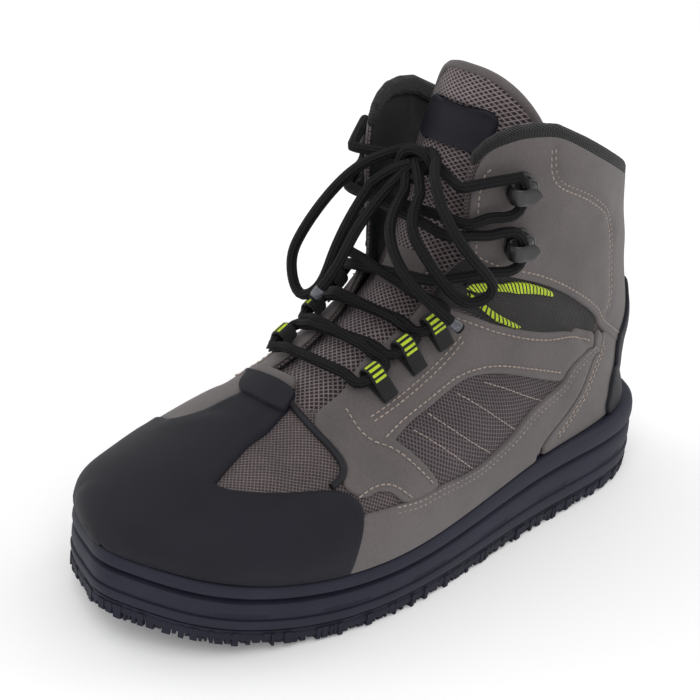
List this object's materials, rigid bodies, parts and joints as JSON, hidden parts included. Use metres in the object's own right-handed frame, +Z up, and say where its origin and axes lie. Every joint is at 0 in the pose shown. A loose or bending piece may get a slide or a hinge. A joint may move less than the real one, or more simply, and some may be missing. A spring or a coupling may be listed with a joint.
{
  "type": "wading boot",
  "caption": "Lace-up wading boot: hollow hooded-toe upper on a lugged rubber sole, with webbing lace loops, speed hooks, bound collar, tongue and side drain holes",
  "frame": {"origin": "centre of the boot's bounding box on the floor, laces' free ends left out", "axes": "+Z up, -Y towards the toe, +X towards the outer side of the left foot"},
  "size_m": [0.1216, 0.312, 0.1994],
  "materials": {
    "mesh": "coarse brown woven mesh, lined with black fabric",
    "taupe": "matte taupe synthetic leather with a fine grain",
    "rubber": "black abrasion-proof rubber coating, satin",
    "sole": "navy-black moulded rubber, matte",
    "webbing": "black webbing and knitted binding with yellow-green stripes on the loops",
    "elastic": "yellow-green and black striped elastic",
    "lace": "black round braided cord",
    "metal": "dull drain grommet",
    "hook": "black enamelled speed hook",
    "foam": "black fabric-topped foam insole"
  },
  "bodies": {
    "root": {"band_lateral": "taupe", "band_medial": "taupe", "collar_binding": "webbing", "drain_grommet_1": "metal", "drain_grommet_2": "metal", "elastic_lower_lateral": "elastic", "elastic_lower_medial": "elastic", "elastic_upper_lateral": "elastic", "elastic_upper_medial": "elastic", "heel_counter": "rubber", "heel_panel": "taupe", "hook_base_lateral_1": "hook", "hook_base_lateral_2": "hook", "hook_base_medial_1": "hook", "hook_base_medial_2": "hook", "hook_lateral_1": "hook", "hook_lateral_2": "hook", "hook_medial_1": "hook", "hook_medial_2": "hook", "insole": "foam", "lace_bow_lateral": "lace", "lace_bow_medial": "lace", "lace_end_lateral": "lace", "lace_end_medial": "lace", "lace_knot": "lace", "lace_loop_lateral_1": "webbing", "lace_loop_lateral_2": "webbing", "lace_loop_lateral_3": "webbing", "lace_loop_medial_1": "webbing", "lace_loop_medial_2": "webbing", "lace_loop_medial_3": "webbing", "lace_run": "lace", "midsole": "sole", "outsole": "sole", "pull_loop": "webbing", "quarter_lateral": "taupe", "quarter_medial": "taupe", "shaft_panel": "taupe", "toe_cap": "rubber", "tongue": "mesh", "tongue_badge": "rubber", "upper": "mesh"}
  },
  "joints": []
}
